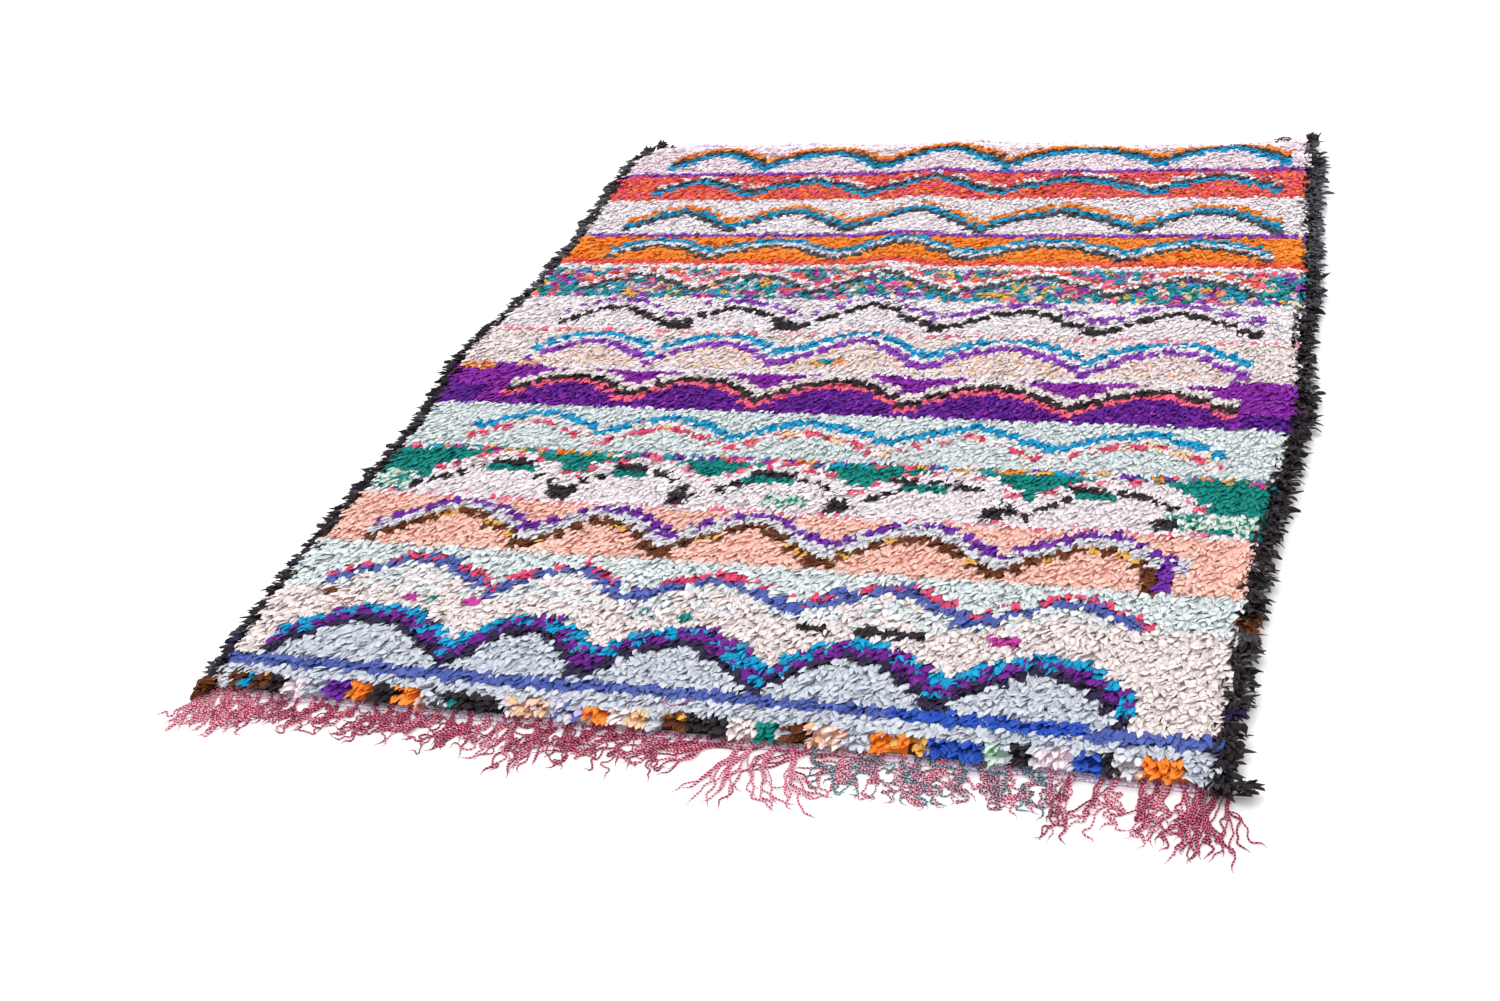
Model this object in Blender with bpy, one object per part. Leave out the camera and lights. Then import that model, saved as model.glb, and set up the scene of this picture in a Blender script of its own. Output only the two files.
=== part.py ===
"""A boucherouite rag rug laid flat: a shag of cloth strips, dark rag selvedges, a fringe on one end.

Metres, +Z up. The origin is the centre of the pile field's flat underside, and the fringe is at -Y.
"""

import math
import random

import bmesh
import bpy
from mathutils import Vector, noise

# Pile and selvedges
PILE_LENGTH = 1.888
HALF_WIDTH = 0.738
SELVEDGE_WIDTH = 0.030
PILE_HEIGHT = 0.0255
SHOULDER_HEIGHT = 0.015
SHOULDER_WIDTH = 0.055
SHOULDER_LUMPS = 0.35
LUMP_HEIGHT = 0.0050
LUMP_SPAN = 0.085
TUFT_HEIGHT = 0.0070
TUFT_SPAN = 0.053
SELVEDGE_HEIGHT = 0.024
SELVEDGE_FALL = 0.4
SEAM = 0.0004
FOOT_HEIGHT = 0.0065

FIELD_COLUMNS = 44
PILE_ROWS = 54
SELVEDGE_COLUMNS = 3

# Locks that stand out from the rim
END_LOCK_REACH = (0.006, 0.014)
END_LOCK_TIP = (FOOT_HEIGHT + 0.001, FOOT_HEIGHT + 0.004)
SIDE_LOCK_REACH = (0.005, 0.019)
SIDE_LOCK_TIP = (0.004, 0.010)
LOCK_DRIFT = 0.010
CORNER_LOCK_REACH = 0.032

# Heading and fringe
HEADING_HALF_WIDTH = 0.728
HEADING_DEPTH = 0.012
HEADING_HEIGHT = 0.0040
HEADING_RIDGE = 0.0009
HEADING_RIDGE_SPAN = 0.014
STRANDS = 102
STRAND_WIDTH = 0.0055
STRAND_TIP_WIDTH = 0.0030
STRAND_HEIGHT = 0.0036
STRAND_TIP_HEIGHT = 0.0022
STRAND_STEPS = 5
STRAND_WANDER = 0.0030
STRAND_WAVES = 0.8
LENGTH_SPREAD = 0.10
FRINGE_SEED = 11

# Twined cord along the far end
CORD_RADIUS = 0.0026

# How far each side bulges past its true line, from the near end to the far one
SIDES = [
    # (along, left, right)
    (0.00, -0.012, -0.010),
    (0.12, -0.004, -0.012),
    (0.30, 0.000, -0.011),
    (0.45, 0.002, -0.005),
    (0.60, -0.003, 0.005),
    (0.72, -0.005, 0.014),
    (0.82, 0.006, 0.023),
    (0.93, 0.022, 0.025),
    (1.02, 0.019, 0.016),
    (1.12, 0.002, 0.009),
    (1.24, -0.013, 0.014),
    (1.45, -0.015, 0.004),
    (1.60, -0.004, -0.006),
    (1.72, 0.004, -0.011),
    (1.81, 0.006, -0.014),
    (PILE_LENGTH, -0.024, -0.030),
]

# How far the far end bulges past its true line, from left to right
FAR_END = [
    # (across, out)
    (-HALF_WIDTH, 0.014),
    (-0.36, 0.014),
    (-0.14, 0.008),
    (0.00, 0.024),
    (0.12, 0.006),
    (0.34, -0.014),
    (0.50, -0.017),
    (0.60, -0.011),
    (0.68, 0.002),
    (HALF_WIDTH, -0.008),
]

# The fringe's length and the sideways sweep of its tips, from left to right
FRINGE = [
    # (across, length, sweep)
    (-0.728, 0.088, 0.004),
    (-0.690, 0.104, 0.004),
    (-0.610, 0.086, 0.004),
    (-0.480, 0.068, 0.006),
    (-0.230, 0.074, 0.008),
    (-0.170, 0.118, -0.006),
    (-0.120, 0.070, 0.004),
    (-0.030, 0.088, 0.016),
    (0.050, 0.062, 0.000),
    (0.115, 0.120, -0.008),
    (0.180, 0.104, 0.014),
    (0.260, 0.084, 0.010),
    (0.480, 0.090, 0.004),
    (0.560, 0.116, -0.022),
    (0.640, 0.100, 0.004),
    (0.728, 0.140, 0.016),
]


def between(table, at, column):
    """The table's column at this place, eased from row to row."""
    at = min(max(at, table[0][0]), table[-1][0])
    for low, high in zip(table, table[1:]):
        if at <= high[0]:
            share = (at - low[0]) / (high[0] - low[0])
            share = share * share * (3 - 2 * share)
            return low[column] + share * (high[column] - low[column])
    return table[-1][column]


def outer_x(side, share):
    """Where a selvedge's outer wall runs, side -1 for the left one and 1 for the right."""
    return side * (HALF_WIDTH + between(SIDES, share * PILE_LENGTH, 1 if side < 0 else 2))


def seam_x(side, share):
    return outer_x(side, share) - side * SELVEDGE_WIDTH


def pile_y(x, share):
    return -PILE_LENGTH / 2 + share * (PILE_LENGTH + between(FAR_END, x, 1))


def shoulder(distance):
    """From 0 at the rim to 1 where the pile stands at its full height."""
    share = min(max(distance / SHOULDER_WIDTH, 0), 1)
    return math.sqrt(share * (2 - share))


def lump(x, y):
    """The unevenness of the shag: wide swells, and single tufts that stand higher or lower."""
    swell = LUMP_HEIGHT * noise.noise(Vector((x / LUMP_SPAN, y / LUMP_SPAN, 0)))
    return swell + TUFT_HEIGHT * noise.noise(Vector((x / TUFT_SPAN, y / TUFT_SPAN, 9)))


def material_of(name, colour, roughness):
    material = bpy.data.materials.new(name)
    material.use_nodes = True
    shader = material.node_tree.nodes["Principled BSDF"]
    shader.inputs["Base Color"].default_value = (*colour, 1)
    shader.inputs["Roughness"].default_value = roughness
    shader.inputs["Metallic"].default_value = 0
    material.diffuse_color = (*colour, 1)
    return material


def add_object(name, data, material):
    data.materials.append(material)
    obj = bpy.data.objects.new(name, data)
    rug.objects.link(obj)
    return obj


def add_mesh(name, bm, material):
    mesh = bpy.data.meshes.new(name)
    bm.to_mesh(mesh)
    bm.free()
    return add_object(name, mesh, material)


def grid(columns, rows, place):
    """A grid whose points are set by place(column share, row share)."""
    bm = bmesh.new()
    bmesh.ops.create_grid(bm, x_segments=columns, y_segments=rows, size=0.5)
    for vert in bm.verts:
        vert.co = place(vert.co.x + 0.5, vert.co.y + 0.5)
    return bm


def drop_walls(bm, heights):
    """Walls from the grid's border down through these heights, closed by a flat face. Returns the rows."""
    edges = [edge for edge in bm.edges if edge.is_boundary]
    rows = []
    for height in heights:
        made = bmesh.ops.extrude_edge_only(bm, edges=edges)["geom"]
        rows.append([item for item in made if isinstance(item, bmesh.types.BMFace)])
        for item in made:
            if isinstance(item, bmesh.types.BMVert):
                item.co.z = height
        edges = [edge for edge in bm.edges if edge.is_boundary]
    bmesh.ops.contextual_create(bm, geom=edges)
    bmesh.ops.recalc_face_normals(bm, faces=bm.faces)
    return rows


def facing(faces, direction):
    """The faces that look this way, in order across the rug and then along it."""
    chosen = [face for face in faces if face.normal.dot(direction) > math.cos(math.radians(45))]
    return sorted(chosen, key=lambda face: tuple(face.calc_center_median()))


def raise_locks(bm, faces, direction, reach, tip_heights, seed):
    """Pulls each face out into a pointed lock of four sides. Returns the tips."""
    draw = random.Random(seed)
    sideways = Vector((-direction.y, direction.x, 0))
    tips = []
    for face in faces:
        tip = bmesh.ops.poke(bm, faces=[face])["verts"][0]
        tip.co += direction * draw.uniform(*reach) + sideways * draw.uniform(-LOCK_DRIFT, LOCK_DRIFT)
        tip.co.z = draw.uniform(*tip_heights)
        tips.append(tip)
    return tips


def pile_field():
    """The pile between the selvedges: a lumpy slab, flat below, with a row of locks over each end."""

    def place(across, along):
        left, right = seam_x(-1, along), seam_x(1, along)
        x = left + across * (right - left)
        y = pile_y(x, along)
        rim = min(along, 1 - along) * PILE_LENGTH
        height = SHOULDER_HEIGHT + (PILE_HEIGHT - SHOULDER_HEIGHT) * shoulder(rim)
        return x, y, height + lump(x, y) * (SHOULDER_LUMPS + (1 - SHOULDER_LUMPS) * shoulder(rim))

    bm = grid(FIELD_COLUMNS, PILE_ROWS, place)
    upper = drop_walls(bm, (FOOT_HEIGHT, 0))[0]
    ends = [(way, facing(upper, way)) for way in (Vector((0, -1, 0)), Vector((0, 1, 0)))]
    for seed, (way, faces) in enumerate(ends):
        raise_locks(bm, faces, way, END_LOCK_REACH, END_LOCK_TIP, seed)
    return add_mesh("pile_field", bm, material_of("rag_pile", (0.74, 0.62, 0.62), 0.9))


def selvedge(name, side, seed):
    """One dark side of the rug: knotted rags whose ends stand out sideways as locks."""

    def place(across, along):
        inner = seam_x(side, along) + side * SEAM
        outer = outer_x(side, along)
        x = inner + across * (outer - inner)
        y = pile_y(seam_x(side, along), along)
        return x, y, (SELVEDGE_HEIGHT + lump(x, y)) * (1 - SELVEDGE_FALL * across * across)

    bm = grid(SELVEDGE_COLUMNS, PILE_ROWS, place)
    walls = drop_walls(bm, (0,))[0]
    outward = Vector((side, 0, 0))
    locks = facing(walls, outward)
    tips = raise_locks(bm, locks, outward, SIDE_LOCK_REACH, SIDE_LOCK_TIP, seed)
    if side > 0:
        nearest = min(tips, key=lambda tip: tip.co.y)
        nearest.co.x = outer_x(side, 0) + CORNER_LOCK_REACH
    return add_mesh(name, bm, material_of(name + "_rags", (0.022, 0.018, 0.024), 0.9))


def strand_middle(strand, share):
    """The middle of a strand at this share of its length: swept to one side, with a slow wave in it."""
    root, length, sweep, wander, phase = strand
    wave = wander * math.sin(math.tau * (STRAND_WAVES * share + phase))
    return root + Vector((share * (sweep * share + wave), -length * share, 0))


def set_ring(face, old, new, width, height):
    """Moves a strand's end face from its old middle and direction to the new ones, at this size."""
    old_left = Vector((-old[1].y, old[1].x, 0))
    new_left = Vector((-new[1].y, new[1].x, 0))
    for vert in face.verts:
        hand = 1 if (vert.co - old[0]).dot(old_left) > 0 else -1
        level = height if vert.co.z > STRAND_TIP_HEIGHT / 2 else 0
        vert.co = new[0] + new_left * (hand * width / 2) + Vector((0, 0, level))


def fringe():
    """The flat-woven heading, a narrow strip before the pile, and the warp ends that run out of it."""
    pitch = 2 * HEADING_HALF_WIDTH / STRANDS
    back = -PILE_LENGTH / 2 - SEAM

    def place(across, along):
        number, odd = divmod(round(across * 2 * STRANDS), 2)
        x = -HEADING_HALF_WIDTH + number * pitch + (STRAND_WIDTH if odd else 0)
        y = back - HEADING_DEPTH * (1 - along)
        return x, y, HEADING_HEIGHT + HEADING_RIDGE * noise.noise(Vector((x / HEADING_RIDGE_SPAN, along, 0)))

    bm = grid(2 * STRANDS, 1, place)
    walls = drop_walls(bm, (0,))[0]
    ahead = Vector((0, -1, 0))
    faces = facing(walls, ahead)[::2]
    draw = random.Random(FRINGE_SEED)
    strands = []
    for face in faces:
        root = face.calc_center_median() * Vector((1, 1, 0))
        length = between(FRINGE, root.x, 1) * draw.uniform(1 - LENGTH_SPREAD, 1 + LENGTH_SPREAD)
        wander = draw.uniform(0, STRAND_WANDER)
        strands.append((root, length, between(FRINGE, root.x, 2), wander, draw.random()))
    rings = [(strand[0], ahead) for strand in strands]
    for step in range(1, STRAND_STEPS + 1):
        share = step / STRAND_STEPS
        width = STRAND_WIDTH + (STRAND_TIP_WIDTH - STRAND_WIDTH) * share
        height = STRAND_HEIGHT + (STRAND_TIP_HEIGHT - STRAND_HEIGHT) * share
        faces = bmesh.ops.extrude_discrete_faces(bm, faces=faces)["faces"]
        faces.sort(key=lambda face: face.calc_center_median().x)
        for index, (face, strand) in enumerate(zip(faces, strands)):
            middle = strand_middle(strand, share)
            way = middle - strand_middle(strand, share - 1 / STRAND_STEPS)
            ring = (middle, way.normalized())
            set_ring(face, rings[index], ring, width, height)
            rings[index] = ring
    return add_mesh("fringe", bm, material_of("warp_yarn", (0.52, 0.16, 0.24), 0.85))


def end_cord():
    """The thin dark cord that the far warp ends are twined into, lying against the pile's foot."""
    data = bpy.data.curves.new("end_cord", "CURVE")
    data.dimensions = "3D"
    data.bevel_depth = CORD_RADIUS
    data.bevel_resolution = 2
    data.use_fill_caps = True
    spline = data.splines.new("POLY")
    spline.points.add(FIELD_COLUMNS)
    left, right = seam_x(-1, 1), seam_x(1, 1)
    for number, point in enumerate(spline.points):
        x = left + (right - left) * number / FIELD_COLUMNS
        point.co = (x, pile_y(x, 1) + 1.1 * CORD_RADIUS + SEAM, CORD_RADIUS, 1)
    return add_object("end_cord", data, material_of("dark_twine", (0.035, 0.025, 0.03), 0.85))


for old in list(bpy.data.objects):
    bpy.data.objects.remove(old)
rug = bpy.data.collections.new("boucherouite_rug")
bpy.context.scene.collection.children.link(rug)

pile_field()
selvedge("selvedge_left", -1, 21)
selvedge("selvedge_right", 1, 22)
fringe()
end_cord()
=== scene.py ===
import math

import bpy
import numpy as np
from mathutils import Matrix, Vector, noise


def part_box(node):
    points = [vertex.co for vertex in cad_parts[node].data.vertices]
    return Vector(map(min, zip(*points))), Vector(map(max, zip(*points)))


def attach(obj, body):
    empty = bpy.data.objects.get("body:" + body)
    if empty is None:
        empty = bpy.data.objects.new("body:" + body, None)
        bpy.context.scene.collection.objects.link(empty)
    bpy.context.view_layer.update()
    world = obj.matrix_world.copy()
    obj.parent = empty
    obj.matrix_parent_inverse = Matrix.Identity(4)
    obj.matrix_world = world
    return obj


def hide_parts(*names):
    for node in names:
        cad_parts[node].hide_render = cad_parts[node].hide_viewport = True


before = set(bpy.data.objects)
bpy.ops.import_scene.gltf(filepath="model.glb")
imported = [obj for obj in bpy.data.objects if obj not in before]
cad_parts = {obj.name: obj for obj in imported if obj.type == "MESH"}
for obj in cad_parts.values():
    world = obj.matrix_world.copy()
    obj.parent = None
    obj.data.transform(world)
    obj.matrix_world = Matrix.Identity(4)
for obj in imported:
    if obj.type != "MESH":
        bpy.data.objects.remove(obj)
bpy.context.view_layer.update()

# Viewpoint
# The rug is seen from in front of its fringed end, from a little to the right of its middle, at
# the height of a standing person's eyes, with the camera turned slightly clockwise.
STANDPOINT = (0.88814, -2.57702, 1.54757)
TURN = 23.434
DOWNWARD = 32.983
ROLL = -10.215
LENS_MM = 43.53

camera = bpy.data.objects.new("camera", bpy.data.cameras.new("camera"))
camera.data.lens = LENS_MM
camera.data.sensor_width = 36
camera.matrix_world = (
    Matrix.Translation(STANDPOINT)
    @ Matrix.Rotation(math.radians(TURN), 4, "Z")
    @ Matrix.Rotation(math.radians(90 - DOWNWARD), 4, "X")
    @ Matrix.Rotation(math.radians(ROLL), 4, "Z")
)
bpy.context.scene.collection.objects.link(camera)
bpy.context.scene.camera = camera
bpy.context.scene.view_settings.view_transform = "Standard"

# Studio
# A plain white floor under a wide overhead softbox, with a second one low on the left, so that
# the shag is lit evenly and only the gaps between its tufts fall dark.
FLOOR_SIZE = 60.0
OVERHEAD = ((0.3, 1.0, 4.2), 5.0, 84.0)
SIDE_LIGHT = ((-4.2, -1.6, 2.8), 2.5, 15.0)
SKY_STRENGTH = 1.14


class Wire:
    """A shader socket. Arithmetic on wires adds Math nodes, and add() adds any other node."""

    def __init__(self, tree, socket=None):
        self.tree = tree
        self.socket = socket

    def add(self, kind, settings, inputs, output=0):
        """A node of this kind: its settings first, then its sockets' values or wires."""
        node = self.tree.nodes.new("ShaderNode" + kind)
        for name, value in settings.items():
            if name == "stops":
                self.set_stops(node.color_ramp.elements, value)
            else:
                setattr(node, name, value)
        for place, value in inputs.items():
            if isinstance(value, Wire):
                self.tree.links.new(value.socket, node.inputs[place])
            else:
                node.inputs[place].default_value = value
        return Wire(self.tree, node.outputs[output])

    def set_stops(self, elements, stops):
        while len(elements) < len(stops):
            elements.new(0.5)
        for element, (position, colour) in zip(elements, stops):
            element.position = position
            element.color = (*colour, 1)

    def maths(self, operation, first, second=0.0):
        return self.add("Math", {"operation": operation}, {0: first, 1: second})

    def __add__(self, other):
        return self.maths("ADD", self, other)

    def __sub__(self, other):
        return self.maths("SUBTRACT", self, other)

    def __mul__(self, other):
        return self.maths("MULTIPLY", self, other)

    def attribute(self, name):
        """The vector attribute of this name."""
        return self.add("Attribute", {"attribute_name": name}, {}, "Vector")

    def place(self):
        """The place on the piece in metres."""
        return self.add("TexCoord", {}, {}, "Object")

    def part(self, letter):
        """One part of this vector: X, Y or Z."""
        return self.add("SeparateXYZ", {}, {0: self}, letter)

    def wave(self):
        """A sine of this value, moved to run from 0 to 1."""
        return self.maths("SINE", self) * 0.5 + 0.5

    def stretched(self, sizes):
        """This vector with each of its parts multiplied by its own number."""
        return self.add("VectorMath", {"operation": "MULTIPLY"}, {0: self, 1: sizes})

    def cloudy(self, scale, detail=2.0, rough=0.5):
        """Soft random patches at this place, from 0 to 1."""
        wires = {"Vector": self, "Scale": scale, "Detail": detail, "Roughness": rough}
        return self.add("TexNoise", {}, wires, "Fac")

    def mixed(self, low, high):
        """The colour from low to high, wires or hex codes, as this value goes from 0 to 1."""
        low, high = [(*dye(end), 1) if isinstance(end, str) else end for end in (low, high)]
        return self.add("Mix", {"data_type": "RGBA"}, {0: self, 6: low, 7: high}, 2)

    def ramp(self, stops):
        """The colour at this value between the stops, each of them a position and a colour."""
        return self.add("ValToRGB", {"stops": stops}, {"Fac": self}, "Color")

    def drive(self, shader, socket):
        self.tree.links.new(self.socket, shader.inputs[socket])

    def emboss(self, shader, distance, strength=1.0):
        """Raises the surface by this height map."""
        sizes = {"Strength": strength, "Distance": distance, "Height": self}
        self.add("Bump", {}, sizes, "Normal").drive(shader, "Normal")


def dye(code):
    """The linear colour of a hex code such as E8D8DA."""
    parts = np.array([int(code[n : n + 2], 16) for n in (0, 2, 4)]) / 255
    return tuple(np.where(parts <= 0.04045, parts / 12.92, ((parts + 0.055) / 1.055) ** 2.4))


def fresh_material(name):
    """A new material, its shader, and a wire to start its maths from."""
    material = bpy.data.materials.new(name)
    material.use_nodes = True
    tree = material.node_tree
    return material, tree.nodes["Principled BSDF"], Wire(tree)


def painted_floor():
    material, shader, start = fresh_material("white_floor")
    patches = start.place().cloudy(0.8, 3.0)
    patches.mixed("F4F4F4", "FAFAFA").drive(shader, "Base Color")
    (patches * 0.1 + 0.8).drive(shader, "Roughness")
    shader.inputs["Specular IOR Level"].default_value = 0.2
    return material


def softbox(name, place, size, power):
    lamp = bpy.data.lights.new(name, "AREA")
    lamp.size = size
    lamp.energy = power
    holder = bpy.data.objects.new(name, lamp)
    holder.location = place
    holder.rotation_euler = (-Vector(place)).to_track_quat("-Z", "Y").to_euler()
    bpy.context.scene.collection.objects.link(holder)


bpy.ops.mesh.primitive_plane_add(size=FLOOR_SIZE)
floor = bpy.context.object
floor.name = "floor"
floor.data.materials.append(painted_floor())

softbox("overhead_softbox", *OVERHEAD)
softbox("side_softbox", *SIDE_LIGHT)
sky = bpy.data.worlds.new("white_room")
sky.use_nodes = True
sky.node_tree.nodes["Background"].inputs["Color"].default_value = (1, 1, 1, 1)
sky.node_tree.nodes["Background"].inputs["Strength"].default_value = SKY_STRENGTH
bpy.context.scene.world = sky

# Cloth for the knots
# Worn clothing torn into strips: jersey, lining and printed shirting in many dyes. A strip is
# paler where it is rubbed, and darker in the hollows of its wrinkles and towards its root, which
# is painted shade; it curls lengthwise with fine creases.
CLOTHS = {
    # name: dye, worn dye
    "cream": "EBDDDB F4EAE8",
    "rose_cream": "F0D9D6 F6E5E2",
    "blue_grey": "C5CBD8 D8DEE8",
    "mint": "D8E1E3 E8EEEE",
    "pale_green": "C2E0CC DAEEE0",
    "white": "F2E8ED F8F0F4",
    "grey_white": "D9D7DF E8E6EB",
    "pale_pink": "F6E2EB FAE9F0",
    "peach": "FBC0B0 FDD2C4",
    "apricot": "F6C294 FAD6B2",
    "gold": "E0A045 EEBC70",
    "orange": "FF8424 FFA04C",
    "coral_red": "F05A44 F87A66",
    "red": "E2444E F06C74",
    "coral_pink": "F65A78 FC8AA0",
    "crimson": "DE3A62 F06C8E",
    "magenta": "B83490 D05CB0",
    "lavender": "C0A8D4 D6C4E2",
    "purple": "68259A 8844B8",
    "amethyst": "8536B0 A25CCC",
    "violet": "82209C A040BC",
    "deep_violet": "541484 7234A2",
    "plum": "661C84 8638A4",
    "periwinkle": "4858A4 6C7CC0",
    "royal": "2148B0 4A70D0",
    "cyan": "0892C8 30AADC",
    "teal": "1A8A9C 40B0BC",
    "emerald": "087C74 20948C",
    "brown": "5A2C18 845030",
    "black": "2A2428 443C44",
    "ink": "28203C 443A58",
    "charcoal": "46444A 64626A",
}
# the darkest shade as a share of the dye: for dark batches, and for the painted shade at the roots and
# in the wrinkle hollows
DEEP_AND_SHADED_SHARE = 0.94
SOFTNESS = 0.5
SOFT_DEPTH = 0.006


def rag_cloth(name, colour, worn):
    """Torn cloth whose strip attribute holds the place across, the place along and the batch."""
    material, shader, start = fresh_material("rag_" + name)
    strip = start.attribute("strip")
    along = strip.part("Y")
    batch = strip.part("Z")
    wrinkles = strip.stretched((3.2, 2.4, 97.0)).cloudy(1.0, 3.0, 0.6)
    streaks = strip.stretched((11.0, 1.3, 61.0)).cloudy(1.0, 2.0)
    # painted shade: the tone falls towards each strip's root and in the hollows of its wrinkles, on
    # top of the random tone of its batch
    tone_and_shade = batch * 0.3 + wrinkles * 0.5 + along * 0.25 - 0.05
    deep_and_shaded = tuple(part * DEEP_AND_SHADED_SHARE for part in dye(colour))
    shades = tone_and_shade.ramp([(0.0, deep_and_shaded), (0.45, dye(colour)), (1.0, dye(worn))])
    shades.drive(shader, "Base Color")
    (wrinkles * 0.2 + 0.72).drive(shader, "Roughness")
    (wrinkles * 0.7 + streaks * 0.5).emboss(shader, 0.0015, 0.4)
    shader.inputs["Specular IOR Level"].default_value = 0.12
    shader.inputs["Subsurface Weight"].default_value = SOFTNESS
    shader.inputs["Subsurface Radius"].default_value = (1, 1, 1)
    shader.inputs["Subsurface Scale"].default_value = SOFT_DEPTH
    return material


cloth_names = list(CLOTHS)
cloth_materials = [rag_cloth(name, *CLOTHS[name].split()) for name in cloth_names]

# Chart of the colours
# The weaver's stripes and rows of arches, measured from the near left corner: across
# the rug and up it. Each arch has rows of other dyes along its top, and over them and at the
# sides comes the dye of the band.
CHART_LEFT = -0.756
CHART_FOOT = -0.930
VALLEY_HEIGHTS = (0.10, 0.80, 1.75)
VALLEYS = [
    # where the arches meet, across the rug, at each of the three heights
    (0.090, 0.150, 0.130),
    (0.385, 0.390, 0.345),
    (0.595, 0.625, 0.605),
    (0.850, 0.885, 0.870),
    (1.100, 1.155, 1.180),
    (1.350, 1.420, 1.425),
]
CELL_WIDTH = 0.021
CELL_HEIGHT = 0.0145
GOLDEN_SHARE = 0.618
BLOCK_JITTER = 0.009
RIDGE_HEIGHTS = (0.80, 1.25)
RIDGE_PLACES = (0.81, 0.735)
HUMP_FOOT = 0.75
HUMP_RISE = 0.3
HUMP_HEIGHT = 0.020
HUMP_WIDTH = 0.055
STEEPEST = 1.6
SLOPE_STEP = 0.004
BANDS = [
    # foot, cloth in the arches and over them, rows from the bottom up and their widths in
    # millimetres, heights of the valleys and the peaks, roundness
    (-0.050, "blue_grey", "blue_grey", "", 0.0, 0.0, 1),
    (0.060, "blue_grey", "cream", "ink 15, plum_row 15, cyan_row 14", 0.054, 0.152, 1.7),
    (0.200, "mint_cream", "mint", "periwinkle 14, crimson_row 14", 0.230, 0.300, 1.45),
    (0.345, "peach", "peach", "bark 17, grey_white 17, purple_row 17", 0.345, 0.430, 1.3),
    (0.487, "white", "emerald", "black_row 14, white 17, red_patches 14", 0.494, 0.573, 1.6),
    (0.628, "mint", "mint", "rose_bits 14, mint_cream 15, cyan 16", 0.642, 0.702, 1.3),
    (0.765, "violets", "violet", "coral_pink 13, black 15, cream 18", 0.776, 0.845, 1.6),
    (0.903, "rose_speckle", "cream", "amethyst 17, white 13, cyan 17", 0.907, 0.985, 1.5),
    (1.036, "white", "white", "black 16, white 15, amethyst_row 15", 1.040, 1.112, 1.4),
    (1.158, "confetti", "confetti", "charcoal 14, white 13, coral_bits 13", 1.172, 1.243, 1.5),
    (1.312, "orange", "orange", "charcoal 13, grey_white 13, cyan 14", 1.308, 1.368, 1.5),
    (1.425, "white", "white", "charcoal 14, cyan 15, orange_row 16", 1.426, 1.507, 1.45),
    (1.580, "reds", "reds", "cyan 14, charcoal 14, white_row 14", 1.588, 1.656, 1.5),
    (1.712, "pale_pink", "pale_pink", "cyan 18, charcoal 15, orange 14", 1.716, 1.795, 1.7),
]
MIXTURES = {
    # name: the cloths that its strips are drawn from
    "plum_row": "plum plum plum plum cyan",
    "cyan_row": "cyan cyan cyan cyan plum",
    "crimson_row": "crimson crimson mint crimson periwinkle",
    "purple_row": "purple purple purple grey_white",
    "black_row": "black black black white",
    "red_patches": "white crimson white coral_pink white",
    "amethyst_row": "amethyst amethyst white",
    "orange_row": "orange orange orange white",
    "white_row": "white white red",
    "coral_bits": "coral_red coral_red white coral_pink",
    "violets": "deep_violet deep_violet deep_violet deep_violet violet",
    "mint_cream": "mint mint cream white cream",
    "bark": "brown brown brown brown brown brown brown gold",
    "rose_bits": "crimson coral_pink white crimson mint apricot crimson",
    "rose_speckle": "rose_cream rose_cream rose_cream cream cream pale_pink apricot",
    "confetti": (
        "teal teal cyan amethyst gold magenta teal apricot emerald coral_pink lavender teal grey_white"
    ),
    "reds": "red coral_red coral_red red red coral_pink orange",
    "pink_speckle": "pale_pink coral_pink white pale_pink white",
    "thin_mixture": "orange teal magenta purple gold coral_pink cyan emerald mint",
    "coral_speckle": "coral_pink cream rose_cream pale_pink rose_cream",
    "green_speckle": "pale_green white emerald pale_green",
    "green_grey": "emerald grey_white blue_grey",
    "brown_gold": "brown orange gold",
    "gold_mix": "gold apricot orange coral_pink gold",
    "peach_mix": "peach apricot cream",
    "grey_blue": "blue_grey periwinkle grey_white blue_grey lavender",
    "grey_mix": "black emerald grey_white",
    "far_fuzz": "lavender pale_pink lavender",
}
BLOCKS = (
    "plum_row cyan_row crimson_row purple_row black_row red_patches amethyst_row orange_row white_row "
    "coral_bits bark rose_bits thin_mixture brown_gold mint_cream confetti"
).split()
CONFETTI_WIDTH = 0.015
FIRST_ROW_SPAN = (-100, 16)
FIRST_ROW = {
    # cloth: left and right of its blocks in millimetres
    "grey_white": "45-75 1345-1375",
    "brown": "75-98 920-950",
    "cyan": "98-112",
    "brown_gold": "112-135 745-780 1060-1090",
    "black": "135-165 300-345 440-510 780-840 1215-1240 1325-1345",
    "pale_pink": "165-200 1245-1290",
    "purple": "230-267",
    "orange": "267-300 345-385 635-670 1035-1060 1375-1425",
    "grey_mix": "400-440",
    "peach_mix": "520-580 950-1000",
    "grey_blue": "580-630",
    "cream": "670-700 840-880",
    "apricot": "700-725",
    "emerald": "885-905",
    "gold": "1085-1108",
    "royal": "1110-1180 1295-1325",
    "pale_green": "1180-1205",
}
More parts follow.
